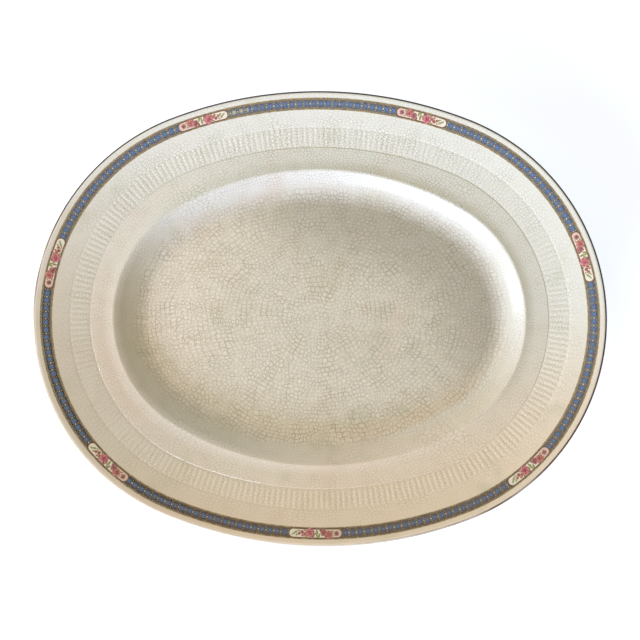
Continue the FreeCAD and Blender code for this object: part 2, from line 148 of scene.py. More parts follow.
# Section line through corners (track, height, radius): each corner becomes an arc tangent to both its
# sides, starting radius x tan(half the turn) from it, and straight runs are cut to the spacing.
def roundedLine(corners, spacing=1.0, arcSpacing=0.35):
    line = [np.array(corners[0][:2], float)]
    for before, corner, after in zip(corners, corners[1:], corners[2:]):
        point = np.array(corner[:2], float)
        back = np.array(before[:2]) - point
        ahead = np.array(after[:2]) - point
        back, ahead = back / np.linalg.norm(back), ahead / np.linalg.norm(ahead)
        turn = np.pi - np.arccos(np.clip(back @ ahead, -1, 1))
        if corner[2] == 0 or turn < 0.002:
            line.append(point)
            continue
        middle = (back + ahead) / np.linalg.norm(back + ahead)
        centre = point + middle * corner[2] / np.cos(turn / 2)
        start = point + back * corner[2] * np.tan(turn / 2) - centre
        stop = point + ahead * corner[2] * np.tan(turn / 2) - centre
        share = np.linspace(0, 1, int(np.ceil(corner[2] * turn / arcSpacing)) + 2)[:, None]
        arc = np.sin((1 - share) * turn) * start + np.sin(share * turn) * stop
        line.extend(centre + arc / np.sin(turn))
    line.append(np.array(corners[-1][:2], float))
    line = np.array(line)
    runs = np.linalg.norm(np.diff(line, axis=0), axis=1)
    counts = np.maximum(1, np.ceil(runs / spacing).astype(int))
    pieces = [start + (stop - start) * np.linspace(0, 1, count, endpoint=False)[:, None]
              for start, stop, count in zip(line[:-1], line[1:], counts)]
    return np.concatenate(pieces + [line[-1:]])


rimSlope = 0.3
rimTop = 27.855   # height at which the rim slope would meet the outer edge
stepHeight = rimTop - rimSlope * platter["reedStart"]
faceCorners = [
    (platter["reedEnd"], 18.9, 0), (44.8, 18.25, 20), (platter["crestTrack"], 19.25, 2), (60.1, 7.35, 20),
    (78.8, 8.55, 60), (96.8, 9.35, 60), (112.8, 9.75, 60), (platter["poleTrack"], 9.75, 0),
]
reedCorners = [
    (platter["reedStart"], stepHeight, 0), (22.1, 21.08, 1.2), (34.15, 18.65, 0.25),
    (platter["reedEnd"], 18.9, 0),
]
rimCorners = [
    (platter["reedStart"], stepHeight, 0), (0, rimTop, platter["lipRadius"]),
    (0, 23.95, 1.55), (3.35, 22.65, 3),
    (20.35, 16.25, 60), (46.0, 13.22, 6), (47.8, 12.65, 12), (60.85, 3.4, 3), (61.65, 1.0, 0),
]
rimBackCorners = [
    (62.0, 1.0, 0), (61.2, 3.65, 0), (48.1, 13.0, 0), (46.0, 13.65, 0), (20.35, 16.65, 0), (3.35, 23.1, 0),
    (1.2, 24.6, 0), (1.2, 26.4, 0), (platter["reedStart"], stepHeight - 0.35, 0),
]
footInside = 66.0   # track of the foot ring's inner side
footCorners = [(61.3, 3.1, 0), (62.0, 0, 0.8), (footInside, 0, 0.8), (footInside, 2.6, 0)]


# ---- meshes

# One shell from a grid of points (rows, columns, 3). Columns always close on themselves; rows either close
# too, or end in two poles, each a point with a fan of triangles. Track holds each corner's map coordinates,
# one longer than the grid wherever it closes. A shell that encloses a negative volume is turned round.
def shellFrom(grid, track, poles=None, tone=(1, 1, 1, 1)):
    rows, columns = grid.shape[:2]
    wrap = poles is None
    row = np.arange(rows if wrap else rows - 1)[:, None]
    column = np.arange(columns)[None, :]
    nextRow, nextColumn = (row + 1) % rows, (column + 1) % columns
    quads = np.stack(np.broadcast_arrays(
        row * columns + column, row * columns + nextColumn,
        nextRow * columns + nextColumn, nextRow * columns + column), -1).reshape(-1, 4)
    quadTrack = np.stack([track[row, column], track[row, column + 1],
                          track[row + 1, column + 1], track[row + 1, column]], 2).reshape(-1, 4, 2)
    points = grid.reshape(-1, 3)
    fans = np.empty((0, 3), int)
    fanTrack = np.empty((0, 3, 2))
    if not wrap:
        first = np.arange(columns)
        last = first + (rows - 1) * columns
        count = len(points)
        points = np.concatenate([points, np.array(poles, float)])
        fans = np.concatenate([
            np.stack([np.roll(first, -1), first, np.full(columns, count)], -1),
            np.stack([last, np.roll(last, -1), np.full(columns, count + 1)], -1)])
        top, bottom = track[0], track[rows - 1]
        fanTrack = np.concatenate([
            np.stack([top[1:], top[:-1], (top[1:] + top[:-1]) / 2], 1),
            np.stack([bottom[:-1], bottom[1:], (bottom[1:] + bottom[:-1]) / 2], 1)])
    corners = points[quads]
    volume = np.einsum("ni,ni", corners[:, 0], np.cross(corners[:, 1], corners[:, 2]))
    volume += np.einsum("ni,ni", corners[:, 0], np.cross(corners[:, 2], corners[:, 3]))
    corners = points[fans]
    volume += np.einsum("ni,ni", corners[:, 0], np.cross(corners[:, 1], corners[:, 2]))
    if volume < 0:
        quads, quadTrack = quads[:, ::-1], quadTrack[:, ::-1]
        fans, fanTrack = fans[:, ::-1], fanTrack[:, ::-1]
    return {"points": points, "quads": quads, "quadTrack": quadTrack, "fans": fans, "fanTrack": fanTrack,
            "tone": np.tile(np.array(tone, float), (len(points), 1))}


# Mesh object from shells in millimetres, with a map named track and a colour attribute named tone.
def buildPiece(name, shells, material, nodes, creaseAngle=35):
    offsets = np.cumsum([0] + [len(shell["points"]) for shell in shells])
    points = np.concatenate([shell["points"] for shell in shells])
    points[:, 2] = warped(points[:, 0], points[:, 1], points[:, 2])
    corners = np.concatenate([(shell[kind] + offset).ravel()
                              for kind in ("quads", "fans") for shell, offset in zip(shells, offsets)])
    tracks = np.concatenate([shell[kind].reshape(-1, 2)
                             for kind in ("quadTrack", "fanTrack") for shell in shells])
    quadCount = sum(len(shell["quads"]) for shell in shells)
    fanCount = sum(len(shell["fans"]) for shell in shells)
    starts = np.concatenate([np.arange(quadCount) * 4, quadCount * 4 + np.arange(fanCount) * 3])
    mesh = bpy.data.meshes.new(name)
    mesh.vertices.add(len(points))
    mesh.vertices.foreach_set("co", (points * mm).astype(np.float32).ravel())
    mesh.loops.add(len(corners))
    mesh.loops.foreach_set("vertex_index", corners.astype(np.int32))
    mesh.polygons.add(len(starts))
    mesh.polygons.foreach_set("loop_start", starts.astype(np.int32))
    mesh.polygons.foreach_set("use_smooth", np.ones(len(starts), bool))
    mesh.update(calc_edges=True)
    mesh.uv_layers.new(name="track").data.foreach_set("uv", tracks.astype(np.float32).ravel())
    tones = np.concatenate([shell["tone"] for shell in shells])
    toneLayer = mesh.color_attributes.new("tone", "FLOAT_COLOR", "POINT")
    toneLayer.data.foreach_set("color", tones.astype(np.float32).ravel())
    mesh.set_sharp_from_angle(angle=np.radians(creaseAngle))
    mesh.materials.append(material)
    piece = bpy.data.objects.new(name, mesh)
    bpy.context.scene.collection.objects.link(piece)
    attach(piece, "root")
    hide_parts(*nodes)


# Steps round the platter for each piece, and across one reed.
roundSteps = {"well": 480, "reed": 8, "rim": 720, "line": 960, "foot": 480, "base": 360}


# Section line carried round the platter. Map: share of the way round, and track / 100.
def carriedRound(line, columns, relief=None, poles=False):
    share = np.arange(columns + 1) / columns
    heading = headingAt(rimOval, share * reedLength, reedMiddle)
    track, height = line[:, :1], np.repeat(line[:, 1:], columns, 1)
    x, y = planPoint(heading[None, :-1], track)
    if relief is not None:
        height = height + relief(share[None, :-1], track)
    grid = np.stack([x, y, height], -1)
    rows = line if poles else np.concatenate([line, line[:1]])
    maps = np.stack(np.broadcast_arrays(share[None, :], rows[:, :1] / 100), -1)
    ends = [(0, 0, line[0, 1]), (0, 0, line[-1, 1])] if poles else None
    return shellFrom(grid, maps, ends)


# ---- shader helpers

# One socket of a node tree; arithmetic on it adds Math nodes.
class Wire:
    def __init__(self, paint, socket):
        self.paint, self.socket = paint, socket

    def math(self, operation, *others):
        values = dict(enumerate((self,) + others))
        return self.paint.node("ShaderNodeMath", {"operation": operation}, values)

    def __add__(self, other):
        return self.math("ADD", other)

    def __sub__(self, other):
        return self.math("SUBTRACT", other)

    def __rsub__(self, other):
        return self.paint.node("ShaderNodeMath", {"operation": "SUBTRACT"}, {0: other, 1: self})

    def __mul__(self, other):
        return self.math("MULTIPLY", other)

    def __truediv__(self, other):
        return self.math("DIVIDE", other)

    def __pow__(self, other):
        return self.math("POWER", other)

    def __abs__(self):
        return self.math("ABSOLUTE")

    __radd__ = __add__
    __rmul__ = __mul__

    # smooth step from 0 at low to 1 at high
    def rise(self, low, high):
        return self.paint.node("ShaderNodeMapRange", {"interpolation_type": "SMOOTHSTEP"},
                               {"Value": self, "From Min": low, "From Max": high})

    # smooth step from 1 at low to 0 at high
    def fall(self, low, high):
        return 1 - self.rise(low, high)


# Node tree of a material or world. Every node comes from node(): settings first, then the sockets' values
# or wires. It gives back one output, or nothing from a node that has none.
class Paint:
    def __init__(self, owner):
        owner.use_nodes = True
        self.owner = owner
        self.tree = owner.node_tree
        self.tree.nodes.clear()

    def node(self, kind, settings=None, inputs=None, output=0):
        made = self.tree.nodes.new(kind)
        for key, value in (settings or {}).items():
            setattr(made, key, value)
        for key, value in (inputs or {}).items():
            if isinstance(value, Wire):
                self.tree.links.new(value.socket, made.inputs[key])
            else:
                made.inputs[key].default_value = value
        return Wire(self, made.outputs[output]) if made.outputs else None

    # the first colour at share 0, with the second laid on it in full at share 1
    def mix(self, share, first, second, blend="MIX"):
        return self.node("ShaderNodeMix", {"data_type": "RGBA", "blend_type": blend},
                         {0: share, 6: first, 7: second}, 2)

    def vector(self, x, y, z):
        return self.node("ShaderNodeCombineXYZ", None, {0: x, 1: y, 2: z})

    def parts(self, vector):
        first = self.node("ShaderNodeSeparateXYZ", None, {0: vector})
        return [Wire(self, socket) for socket in first.socket.node.outputs]

    # place in millimetres
    def place(self):
        spot = self.node("ShaderNodeTexCoord", None, None, "Object")
        return self.node("ShaderNodeVectorMath", {"operation": "SCALE"}, {0: spot, "Scale": 1 / mm})

    # the two numbers of a piece's own map
    def track(self):
        spot = self.node("ShaderNodeUVMap", {"uv_map": "track"})
        return self.parts(spot)[:2]

    # cloudy noise from 0 to 1 with lumps of a size in millimetres
    def noise(self, spot, size, detail, rough=0.5):
        return self.node("ShaderNodeTexNoise", None,
                         {"Vector": spot, "Scale": 1 / size, "Detail": detail, "Roughness": rough})

    # a pattern's coordinates pushed about by noise in the place, once for each (lump size, reach) in turn
    def stirred(self, base, spot, stirs):
        for size, reach in stirs:
            swirl = self.node("ShaderNodeTexNoise", None,
                              {"Vector": spot, "Scale": 1 / size, "Detail": 2.0}, "Color")
            centred = self.node("ShaderNodeVectorMath", {"operation": "SUBTRACT"},
                                {0: swirl, 1: (0.5, 0.5, 0.5)})
            pushed = self.node("ShaderNodeVectorMath", {"operation": "SCALE"}, {0: centred, "Scale": reach})
            base = self.node("ShaderNodeVectorMath", {"operation": "ADD"}, {0: base, 1: pushed})
        return base

    # crack lines between the cells of a flat pattern: 1 on a line of the given width, 0 inside a cell
    def cracks(self, base, cell, width, irregular):
        gap = self.node("ShaderNodeTexVoronoi", {"feature": "DISTANCE_TO_EDGE", "voronoi_dimensions": "2D"},
                        {"Vector": base, "Scale": 1 / cell, "Randomness": irregular})
        return gap.fall(0.0, width / cell)

    # Concentric crack lines, 1 on a line of the given width. Rings one step apart go round the middle. The
    # angle times the ring's number is the way along it, and each whole step of that holds one cut at a
    # share of its own.
    def ringCracks(self, spot, narrow, step, width):
        x, y = self.parts(spot)[:2]
        x = x * narrow
        radius = (x * x + y * y).math("SQRT") / step
        ring = radius.math("FLOOR")
        along = y.math("ARCTAN2", x) * (ring + 0.5)
        cell = along.math("FLOOR")
        chance = self.node("ShaderNodeTexWhiteNoise", {"noise_dimensions": "2D"},
                           {"Vector": self.vector(cell, ring, 0.0)})
        fromCut = abs(along - cell - 0.2 - chance * 0.6)
        fromRing = 0.5 - abs(radius - ring - 0.5)
        return (fromCut.math("MINIMUM", fromRing) * step).fall(0.0, width)

    # principled surface; a constant's underscores stand for the spaces of its socket's name
    def finish(self, colour, roughness, normal=None, **constants):
        inputs = {"Base Color": colour, "Roughness": roughness}
        inputs.update({key.replace("_", " "): value for key, value in constants.items()})
        if normal is not None:
            inputs["Normal"] = normal
        shader = self.node("ShaderNodeBsdfPrincipled", None, inputs)
        self.node("ShaderNodeOutputMaterial", None, {"Surface": shader})
        return self.owner

    # normal of a height pattern, in which 1 stands for the depth in millimetres
    def bump(self, height, depth):
        return self.node("ShaderNodeBump", None,
                         {"Height": height, "Distance": depth * mm, "Strength": 1.0})


# Paint for a new material of that name.
def newPaint(name):
    return Paint(bpy.data.materials.new(name))


# Display colour 0-255 to scene-linear: each part over 255, then the standard display curve undone.
def tint(red, green, blue):
    value = np.array([red, green, blue]) / 255
    linear = np.where(value <= 0.04045, value / 12.92, ((value + 0.055) / 1.055) ** 2.4)
    return tuple(float(part) for part in linear) + (1.0,)


# ---- glaze

glazeLook = {
    # The dark floor tone is painted shade for the floor's far right.
    "white": tint(243, 242, 238), "cool": tint(234, 232, 227), "floor": tint(203, 198, 189),
    # The lightest floor tone is painted light for the floor's left.
    # The tan is both stain colour and painted shade on the left side.
    "floorPale": tint(240, 234, 224), "floorPaintedLight": tint(250, 243, 233), "tan": tint(222, 181, 146),
    # The amber is painted warm light on the near side.
    # The olive is painted shade in the bowl's lower left.
    "warmLightAmber": tint(255, 226, 199), "green": tint(190, 194, 162), "bowlShadeOlive": tint(168, 160, 132),
    "pink": tint(224, 192, 174),
    "crack": tint(132, 112, 96), "paleCrack": tint(136, 134, 110), "crackDepth": 0.02,
    "ringStep": 2.5, "ringNarrow": 0.8, "floorCell": 2.4, "floorLine": 0.4,
    "flangeCell": 2.0, "flangeLine": 0.3, "flangeStretch": (0.88, 1.2), "irregular": 0.9,
    # lump size and reach of each stir of the crack lines
    "floorStirs": ((40.0, 12.0), (8.0, 3.0), (3.0, 1.7)), "flangeStirs": ((30.0, 9.0), (7.0, 2.2)),
    "roughness": 0.13,
}


# Crazed glaze: whitish on the rim, warmer on the floor, with broad stains and a net of crack lines. On the
# flange the net is irregular cells on the way round and the track. On the floor, rings cut into cells and
# irregular cells share the ground in patches, and the stronger line shows. Painted light pales the floor to
# the left and painted shade darkens it to the far right. Painted warm light turns the near side amber,
# painted shade turns the left side tan and the bowl's lower left olive.
def crazedGlaze():
    look = glazeLook
    paint = newPaint("crazedGlaze")
    spot = paint.place()
    x, y = paint.parts(spot)[:2]
    around, track = paint.track()
    track = track * 100
    flat = paint.stirred(spot, spot, look["floorStirs"])
    alongStretch, acrossStretch = look["flangeStretch"]
    wrapped = paint.vector(around * reedLength * alongStretch, track * acrossStretch, 0.0)
    wrapped = paint.stirred(wrapped, spot, look["flangeStirs"])
    onFloor = track.rise(55, 63)
    ringed = paint.noise(spot, 13.0, 2.0).rise(0.38, 0.62)
    rings = paint.ringCracks(flat, look["ringNarrow"], look["ringStep"], look["floorLine"])
    cells = paint.cracks(flat, look["floorCell"], look["floorLine"], look["irregular"])
    floorNet = (rings * (0.26 + ringed * 0.5)).math("MAXIMUM", cells * (0.78 - ringed * 0.44))
    flangeNet = paint.cracks(wrapped, look["flangeCell"], look["flangeLine"], look["irregular"])
    broad = paint.noise(spot, 38.0, 4.0)
    patches = paint.noise(spot, 17.0, 5.0, 0.6)
    rim = paint.mix(track.rise(20, 46) * 0.7 + broad * 0.3, look["white"], look["cool"])
    # Painted light and shade: the floor is lit towards the left and shaded towards the far right.
    paintedLightRamp = (x * 0.6 + y * 0.8) / 85 + (broad - 0.5) * 0.4
    floor = paint.mix(paintedLightRamp.rise(0.0, 0.75) * track.fall(78, 130), look["floorPale"], look["floor"])
    floor = paint.mix(paintedLightRamp.fall(-0.9, 0.2) * 0.4, floor, look["floorPaintedLight"])
    colour = paint.mix(track.rise(56, 70), rim, floor)
    # Painted warm light: the near side of the rim and outer floor is tinted amber.
    warmLitSide = (x * 0.3 - y).rise(25, 130) * track.fall(62, 80)
    leftShade = (0 - x - y * 0.5).rise(80, 190) * track.fall(62, 80)
    # Tan stains in random patches.
    colour = paint.mix(patches.rise(0.45, 0.8) * 0.12, colour, look["tan"])
    colour = paint.mix(warmLitSide * 0.6, colour, look["warmLightAmber"])
    # Painted shade: the left side is darkened towards tan, more from the inner flange inward.
    colour = paint.mix(leftShade * (0.25 + track.rise(30, 40) * 0.25), colour, look["tan"])
    # Painted shade: the bowl's lower-left cavetto is darkened towards olive.
    bowlShade = (0 - x - y * 0.6).rise(50, 130) * track.rise(49, 53) * track.fall(60, 70)
    colour = paint.mix(bowlShade * 0.35, colour, look["bowlShadeOlive"])
    colour = paint.mix(paint.noise(spot, 24.0, 3.0).rise(0.55, 0.78) * 0.28, colour, look["green"])
    colour = paint.mix(paint.noise(spot, 30.0, 2.0).rise(0.58, 0.8) * 0.2, colour, look["pink"])
    strength = 0.45 + paint.noise(spot, 9.0, 4.0).rise(0.3, 0.7) * 0.4
    colour = paint.mix(floorNet * onFloor * strength, colour, look["crack"])
    farSide = y.rise(40, 120)
    onFlange = (1 - onFloor) * (0.5 + farSide * 0.25) * (0.4 + track.rise(8, 24) * 0.6)
    colour = paint.mix(flangeNet * onFlange * strength, colour, look["paleCrack"])
    lines = floorNet * onFloor + flangeNet * (1 - onFloor)
    height = 0 - lines * 0.8 + paint.noise(spot, 5.0, 2.0) * 0.5
    return paint.finish(colour, look["roughness"] + lines * 0.2, paint.bump(height, look["crackDepth"]),
                        IOR=1.5, Specular_IOR_Level=0.5)


reedLook = {"count": 249, "height": 0.17, "margin": 0.9}


# Reeds: height times a rounded wave round the ring, let down to nothing near both ends of each reed.
def reedRelief(share, track):
    start, end = platter["reedStart"] + reedLook["margin"], platter["reedEnd"] - reedLook["margin"]
    inward = np.clip(np.minimum(track - start, end - track) / 1.0, 0, 1)
    ridge = np.abs(np.cos(np.pi * reedLook["count"] * share)) ** 1.3
    return reedLook["height"] * ridge * inward * inward * (3 - 2 * inward)


# Hidden side of a surface line: every so many of its points, in reverse and lowered by the depth.
def backLine(line, depth, spacing=6.0):
    count = max(3, int((line[:, 0].max() - line[:, 0].min()) / spacing) + 2)
    picks = np.linspace(len(line) - 1, 0, count).astype(int)
    return line[picks] - np.array([0, depth])


glaze = crazedGlaze()
faceLine = roundedLine(faceCorners, 2.2)[::-1]
wellSection = np.concatenate([faceLine, backLine(faceLine, platter["glazeDepth"])])[1:-1]
buildPiece("wellGlaze", [carriedRound(wellSection, roundSteps["well"], None, True)], glaze,
           ["glaze_coat"])

reedLine = roundedLine(reedCorners, 0.75, 0.1)
reedSection = np.concatenate([reedLine, backLine(reedLine, 0.5)])
reedRing = carriedRound(reedSection, reedLook["count"] * roundSteps["reed"], reedRelief)
buildPiece("reedGlaze", [reedRing], glaze, ["glaze_coat"])

rimLine = roundedLine(rimCorners, 2.0, 0.25)
rimSection = np.concatenate([rimLine, roundedLine(rimBackCorners, 8.0)])
buildPiece("rimGlaze", [carriedRound(rimSection, roundSteps["rim"])], glaze, ["glaze_coat"])
print("glaze pieces made")


# ---- foot and base

biscuitLook = {"clay": tint(214, 200, 176), "worn": tint(160, 140, 112), "roughness": 0.82}


# Biscuit: fine grain, darker where the foot has rubbed on shelves.
def biscuit():
    look = biscuitLook
    paint = newPaint("biscuitClay")
    spot = paint.place()
    grain = paint.noise(spot, 0.5, 5.0, 0.7)
    rubbed = paint.noise(spot, 14.0, 4.0).rise(0.45, 0.7)
    colour = paint.mix(rubbed * 0.7, look["clay"], look["worn"])
    colour = paint.mix(grain.rise(0.6, 0.8) * 0.5, colour, look["worn"])
    return paint.finish(colour, look["roughness"] - rubbed * 0.2, paint.bump(grain, 0.04))


footSection = roundedLine(footCorners, 1.0, 0.2)
buildPiece("bareFoot", [carriedRound(footSection, roundSteps["foot"])], biscuit(),
           ["clay_body"])

baseShape = {"edge": footInside, "under": 2.05, "top": 2.5}
baseCorners = [
    (platter["poleTrack"], baseShape["under"], 0), (baseShape["edge"], baseShape["under"], 0),
    (baseShape["edge"], baseShape["top"], 0), (platter["poleTrack"], baseShape["top"], 0),
]
baseLine = roundedLine(baseCorners, 3.0)[1:-1]
buildPiece("baseGlaze", [carriedRound(baseLine, roundSteps["base"], None, True)], glaze,
           ["base_glaze"])
print("foot and base made")


# ---- border

outerHigh = sizeOf("border_line_outer")[1]
innerHigh = sizeOf("border_line_inner")[1]
rimReach = cadBox[1].x / mm
edgeLine = 0.6   # width of each bounding line
border = {
    "start": rimReach - outerHigh[0], "stop": rimReach - innerHigh[0] + edgeLine,
    "printDepth": 0.16, "rootDepth": 0.25,
    "cartouches": 7, "cartoucheLength": 33.0, "endRadius": 3.3, "cellPitch": 4.62,
    "joinAfter": 5, "joinLength": 13.0,   # the join patch runs this far on from that cartouche
    "rowStep": 0.9, "joinRows": 18, "cartoucheRows": 56,
}
fieldStart, fieldStop = border["start"] + edgeLine, border["stop"] - edgeLine
fieldMiddle = (fieldStart + fieldStop) / 2
borderLength = ovalRuler(rimOval, fieldMiddle)[0][-1]


# Height of the rim slope: its top less the slope times the track.
def rimHeight(track):
    return rimTop - rimSlope * track


# Closed section of a thin print between two tracks: a flat top with softened edges, and a hidden root.
def printSection(start, stop, lift, samples):
    across = np.linspace(start, stop, samples)
    edge = np.clip(np.minimum(across - start, stop - across) / 0.25, 0, 1)
    top = np.stack([across, rimHeight(across) + lift * (0.35 + 0.65 * edge)], -1)
    root = np.array([[track, rimHeight(track) - border["rootDepth"]] for track in (stop, start)])
    return np.concatenate([top, root])


# Section carried along the border between two end lines, straight from one to the other at each track. An
# end line gives the length at a track, and mapOf gives the map from length and track.
def carriedAlong(section, startLine, stopLine, rows, mapOf):
    track = np.append(section[:, 0], section[0, 0])
    share = np.linspace(0, 1, rows)[:, None]
    length = startLine(track)[None, :] * (1 - share) + stopLine(track)[None, :] * share
    heading = headingAt(rimOval, length[:, :-1], fieldMiddle)
    x, y = ovalPoint(rimOval, heading, section[None, :, 0])
    grid = np.stack([x, y, np.broadcast_to(section[None, :, 1], x.shape)], -1)
    first, second = mapOf(length, np.broadcast_to(track[None, :], length.shape))
    return shellFrom(grid, np.stack([first, second], -1), [grid[0].mean(0), grid[-1].mean(0)])


# How far a cartouche reaches along the border at a track: half its straight length plus the round end.
def cartoucheReach(track):
    straight = border["cartoucheLength"] / 2 - border["endRadius"]
    return straight + np.sqrt(np.maximum(border["endRadius"] ** 2 - (track - fieldMiddle) ** 2, 0))


# End line that follows a cartouche's round end, on the side with more length (1) or less (-1).
def roundEnd(middle, side):
    def endLine(track):
        return middle + side * cartoucheReach(track)
    return endLine


# End line straight across the border, at one length.
def straightEnd(length):
    def endLine(track):
        return np.full_like(track, length)
    return endLine


panelLook = {
    "ground": tint(112, 118, 126), "navy": tint(76, 82, 98),
    "cobalt": tint(80, 110, 158), "sky": tint(112, 146, 190),
    "cream": tint(220, 212, 196), "gold": tint(186, 162, 122),
    # The dull and rust tones are painted warm reflection along the near side.
    "brown": tint(134, 120, 98), "warmReflectionDull": tint(116, 92, 78),
    # The ink tone is painted shade at the lower left.
    "shadeInk": tint(50, 50, 62), "warmLitEdging": tint(102, 76, 60), "grey": tint(148, 154, 144),
    # places from the middle of a dot: along and across the border
    "speckAcross": 1.45, "sideSpeck": (0.95, 0.75), "beadAcross": 2.55, "beadsPerPitch": 3,
    "roughness": 0.2,
}


# Distance from a point: the square root of the sum of the squares of its two parts.
def distance(along, across):
    return (along * along + across * across).math("SQRT")


# Printed border: in each pitch a rounded cobalt check with a pale dot between checks, specks round the dot,
# and a row of gilt beads on a brown ground along both edges. Painted shade darkens the ground at the lower
# left, and a painted warm reflection dulls it along the near side, where it also warms the edging and fades
# the checks.
def borderPrint(name, faded):
    look = panelLook
    paint = newPaint(name)
    around, track = paint.track()
    stir = paint.noise(paint.place(), 2.2, 2.0) - 0.5
    along = around * borderLength + stir * 0.9
    across = track * 100 - fieldMiddle + stir * 0.7
    pitch = border["cellPitch"]
    cell = (along / pitch).math("FRACT") - 0.5
    fromCheck = cell * pitch
    fromDot = (0.5 - abs(cell)) * pitch
    fromMiddle = abs(across)
    check = (abs(fromCheck) ** 3 + fromMiddle ** 3) ** (1 / 3)
    dot = distance(fromDot, across)
    speck = distance(fromDot, fromMiddle - look["speckAcross"])
    sideAlong, sideAcross = look["sideSpeck"]
    sideSpeck = distance(fromDot - sideAlong, fromMiddle - sideAcross)
    beads = look["beadsPerPitch"]
    fromBead = ((along * beads / pitch).math("FRACT") - 0.5) * (pitch / beads)
    bead = distance(fromBead, fromMiddle - look["beadAcross"])
    wear = paint.noise(paint.place(), 3.1, 3.0)
    cobalt = look["grey"] if faded else look["cobalt"]
    sky = look["cream"] if faded else look["sky"]
    x, y = paint.parts(paint.place())[:2]
    # Painted warm reflection along the near side: it dulls the ground, warms the edging and fades the
    # checks.
    warmLitSide = (0 - y).rise(20, 130)
    ground = paint.mix(paint.noise(paint.place(), 1.4, 2.0).rise(0.4, 0.65), look["ground"], look["navy"])
    # Painted shade: the ground darkens towards the lower left.
    ground = paint.mix((0 - x - y).rise(90, 200) * 0.85, ground, look["shadeInk"])
    # Painted warm reflection: the ground dulls along the near side.
    ground = paint.mix((x * 0.4 - y).rise(50, 140) * 0.6, ground, look["warmReflectionDull"])
    edging = paint.mix(warmLitSide * 0.75, look["brown"], look["warmLitEdging"])
    colour = paint.mix(check.fall(1.35, 1.65) * (1 - warmLitSide * 0.38), ground, cobalt)
    colour = paint.mix(check.fall(0.3, 1.15) * (0.35 + wear * 0.6), colour, sky)
    colour = paint.mix(fromMiddle.rise(2.0, 2.4), colour, edging)
    colour = paint.mix(bead.fall(0.2, 0.5) * wear.rise(0.3, 0.6) * 0.8, colour, look["gold"])
    colour = paint.mix(dot.fall(0.3, 0.6) * wear.rise(0.25, 0.5), colour, look["cream"])
    colour = paint.mix(speck.fall(0.12, 0.4) * 0.7, colour, look["cream"])
    colour = paint.mix(sideSpeck.fall(0.12, 0.32) * 0.8, colour, look["gold"])
    fleck = paint.noise(paint.place(), 1.1, 2.0).rise(0.52, 0.66)
    colour = paint.mix(fleck * 0.6, colour, edging)
    relief = check.fall(1.2, 1.7) + dot.fall(0.3, 0.7) + bead.fall(0.2, 0.5) * 0.7
    return paint.finish(colour, look["roughness"] + wear * 0.12, paint.bump(relief, 0.05), IOR=1.5)


# Brown line with a gilt shimmer along it.
def borderLine():
    look = panelLook
    paint = newPaint("borderLinePrint")
    worn = paint.noise(paint.place(), 1.6, 4.0)
    colour = paint.mix(worn.rise(0.42, 0.62), look["brown"], look["gold"])
    colour = paint.mix(paint.noise(paint.place(), 5.0, 3.0).rise(0.62, 0.8) * 0.5, colour, look["cream"])
    return paint.finish(colour, 0.3, paint.bump(worn, 0.03), IOR=1.5)


linePaint = borderLine()
for piece, node, start, stop in (("outerLine", "border_line_outer", border["start"], fieldStart),
                                 ("innerLine", "border_line_inner", fieldStop, border["stop"])):
    section = printSection(start, stop, border["printDepth"] * 0.9, 4)
    buildPiece(piece, [carriedRound(section, roundSteps["line"])], linePaint, [node])

middles = []   # length along the border at each cartouche's middle
for number in range(1, border["cartouches"] + 1):
    low, high = sizeOf(f"cartouche_{number}")
    middles.append(lengthNear(rimOval, ((low + high) / 2)[:2], fieldMiddle))
fieldSection = printSection(fieldStart, fieldStop, border["printDepth"], 9)
bluePaint, greyPaint = borderPrint("bluePrint", False), borderPrint("greyPrint", True)


# Map of a panel: share of the border's length, and track / 100.
def borderMap(length, track):
    return length / borderLength, track / 100


# Panels run clockwise from each cartouche to the next, so their lengths fall.
for number, start in enumerate(middles, 1):
    stop = middles[number % len(middles)]
    stop = stop - borderLength if stop > start else stop
    fromHere = roundEnd(start, -1)
    if number == border["joinAfter"]:
        seam = straightEnd(start - border["cartoucheLength"] / 2 - border["joinLength"])
        patch = carriedAlong(fieldSection, fromHere, seam, border["joinRows"], borderMap)
        buildPiece("joinPatch", [patch], greyPaint, ["border_join_patch"])
        fromHere = seam
    rows = int((start - stop) / border["rowStep"])
    panel = carriedAlong(fieldSection, fromHere, roundEnd(stop, 1), rows, borderMap)
    buildPiece(f"borderPanel{number}", [panel], bluePaint, [f"border_panel_{number}"])
print("border panels made")


# ---- cartouches

cartoucheLook = {
    "cream": tint(247, 240, 228), "blush": tint(226, 176, 164), "outline": tint(112, 84, 60),
    "gold": tint(176, 140, 84), "roughness": 0.18, "mapLength": 40.0, "mapWidth": 10.0,
}


# Cartouche ground: cream, blushed towards one end and along its edge, inside a brown and gilt outline. The
# distance to the edge is that of a round-ended bar.
def cartouchePaint():
    look = cartoucheLook
    paint = newPaint("cartoucheGround")
    first, second = paint.track()
    along = (first - 0.5) * look["mapLength"]
    across = (second - 0.5) * look["mapWidth"]
    half = (fieldStop - fieldStart) / 2
    overEnd = (abs(along) - (border["cartoucheLength"] / 2 - half)).math("MAXIMUM", 0.0)
    inside = half - distance(overEnd, across)
    cloud = paint.noise(paint.place(), 3.0, 3.0)
    blushing = (0 - along).rise(6, 15) * 0.6 + cloud.rise(0.5, 0.75) * 0.2
    colour = paint.mix(blushing, look["cream"], look["blush"])
    colour = paint.mix(inside.fall(0.5, 1.1) * 0.45, colour, look["blush"])
    colour = paint.mix(inside.fall(0.4, 0.75), colour, look["outline"])
    colour = paint.mix(inside.fall(0.0, 0.2) * cloud.rise(0.45, 0.65) * 0.7, colour, look["gold"])
    return paint.finish(colour, look["roughness"], paint.bump(inside.fall(0.2, 0.5), 0.04), IOR=1.5)


